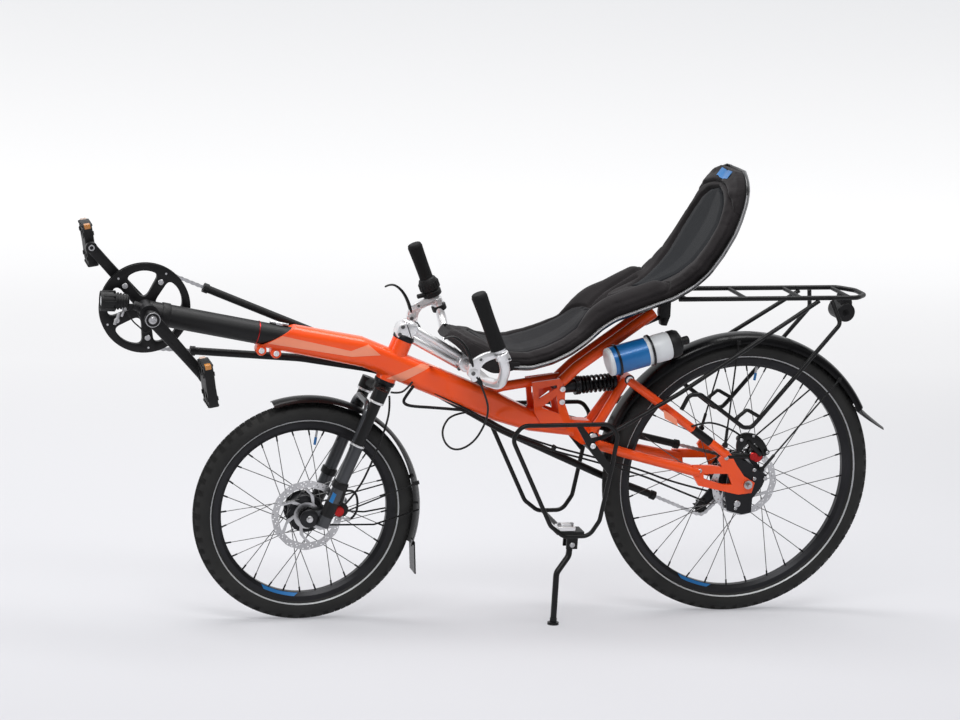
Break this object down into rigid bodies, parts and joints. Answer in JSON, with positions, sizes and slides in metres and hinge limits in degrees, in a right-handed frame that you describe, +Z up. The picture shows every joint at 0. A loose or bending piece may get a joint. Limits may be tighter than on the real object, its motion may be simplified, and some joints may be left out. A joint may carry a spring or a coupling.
{
  "type": "recumbent bicycle",
  "caption": "Two-wheeled recumbent bicycle with suspension, front boom, laid-back seat, bars below the seat, racks and side stand; steering, wheels, cranks, pedals and stand move.",
  "frame": {"origin": "on the ground under the middle of the bicycle's box", "axes": "+X to the rear wheel, +Y to the rider's right, +Z up; the bicycle leans 6 degrees towards -Y on its side stand"},
  "size_m": [1.8842, 0.6141, 1.0535],
  "materials": {
    "black_anodised": "satin",
    "black_paint": "satin",
    "black_plastic": "matte",
    "bottle_plastic": "translucent",
    "gloss_black": "gloss",
    "lamp_red": "gloss",
    "orange_paint": "gloss",
    "rubber": "matte",
    "seat_fabric": "woven",
    "silver": "satin",
    "steel": "satin",
    "tyre": "matte"
  },
  "bodies": {
    "frame": {"boom": "black_anodised", "main_frame": "orange_paint", "gusset_plates": "orange_paint", "seat_strut": "orange_paint", "swingarm_front": "orange_paint", "chainstays": "orange_paint", "seatstays": "orange_paint", "dropouts": "orange_paint", "shock_body": "black_anodised", "shock_spring": "black_paint", "seat_shell": "gloss_black", "seat_cushion": "seat_fabric", "rack_platform": "black_paint", "rack_struts": "black_paint", "pannier_loops": "black_paint", "low_rider_left": "black_paint", "low_rider_right": "black_paint", "low_rider_bridge": "black_paint", "rear_fender": "gloss_black", "tail_light": "lamp_red", "headlight": "black_plastic", "bottle": "bottle_plastic", "bottle_cage": "black_plastic", "chain": "steel", "chain_tubes": "black_plastic", "chain_idler": "black_plastic", "chain_tensioner": "black_plastic", "rear_axle": "steel", "rear_brake_caliper": "black_anodised", "torque_plate": "black_paint", "bar_cables": "black_plastic", "frame_cables": "black_plastic"},
    "steering": {"fork_crown": "black_paint", "fork_lowers": "black_paint", "front_axle": "steel", "stem": "silver", "handlebar": "silver", "grips": "rubber", "brake_levers": "black_plastic", "front_fender": "gloss_black", "front_brake_caliper": "black_anodised", "front_brake_hose": "black_plastic"},
    "front_wheel": {"front_tyre": "tyre", "front_rim": "black_anodised", "front_hub": "black_anodised", "front_spokes": "black_anodised", "front_disc": "steel"},
    "rear_wheel": {"rear_tyre": "tyre", "rear_rim": "black_anodised", "rear_hub": "black_anodised", "rear_spokes": "black_anodised", "rear_disc": "steel", "rear_sprocket": "steel"},
    "cranks": {"chainring": "black_anodised", "chain_guard": "black_plastic", "left_crank": "black_anodised", "right_crank": "black_anodised"},
    "pedal_left": {"left_pedal": "black_anodised"},
    "pedal_right": {"right_pedal": "black_anodised"},
    "stand": {"side_stand": "black_paint"}
  },
  "joints": [
    {"name": "steer", "type": "hinge", "parent": "frame", "child": "steering", "pos_m": [-0.25304, 0.01449, 0.59485], "axis": [0.3502, -0.0979, 0.9315], "range_deg": [-25, 25], "deforming": ["bar_cables"]},
    {"name": "front_wheel_spin", "type": "hinge", "parent": "steering", "child": "front_wheel", "pos_m": [-0.43804, 0.05087, 0.24876], "axis": [0, 0.9945, 0.1045], "continuous": true},
    {"name": "rear_wheel_spin", "type": "hinge", "parent": "frame", "child": "rear_wheel", "pos_m": [0.58396, 0.04287, 0.32484], "axis": [0, 0.9945, 0.1045], "continuous": true},
    {"name": "crank_spin", "type": "hinge", "parent": "frame", "child": "cranks", "pos_m": [-0.80504, 0.00393, 0.6953], "axis": [0, 0.9945, 0.1045], "continuous": true},
    {"name": "left_pedal_spin", "type": "hinge", "parent": "cranks", "child": "pedal_left", "pos_m": [-0.6891, -0.05866, 0.56371], "axis": [0, 0.9945, 0.1045], "continuous": true},
    {"name": "right_pedal_spin", "type": "hinge", "parent": "cranks", "child": "pedal_right", "pos_m": [-0.92098, 0.06652, 0.82689], "axis": [0, 0.9945, 0.1045], "continuous": true},
    {"name": "stand_fold", "type": "hinge", "parent": "frame", "child": "stand", "pos_m": [0.16296, -0.02782, 0.18418], "axis": [0, -0.9945, -0.1045], "range_deg": [0, 90]}
  ]
}
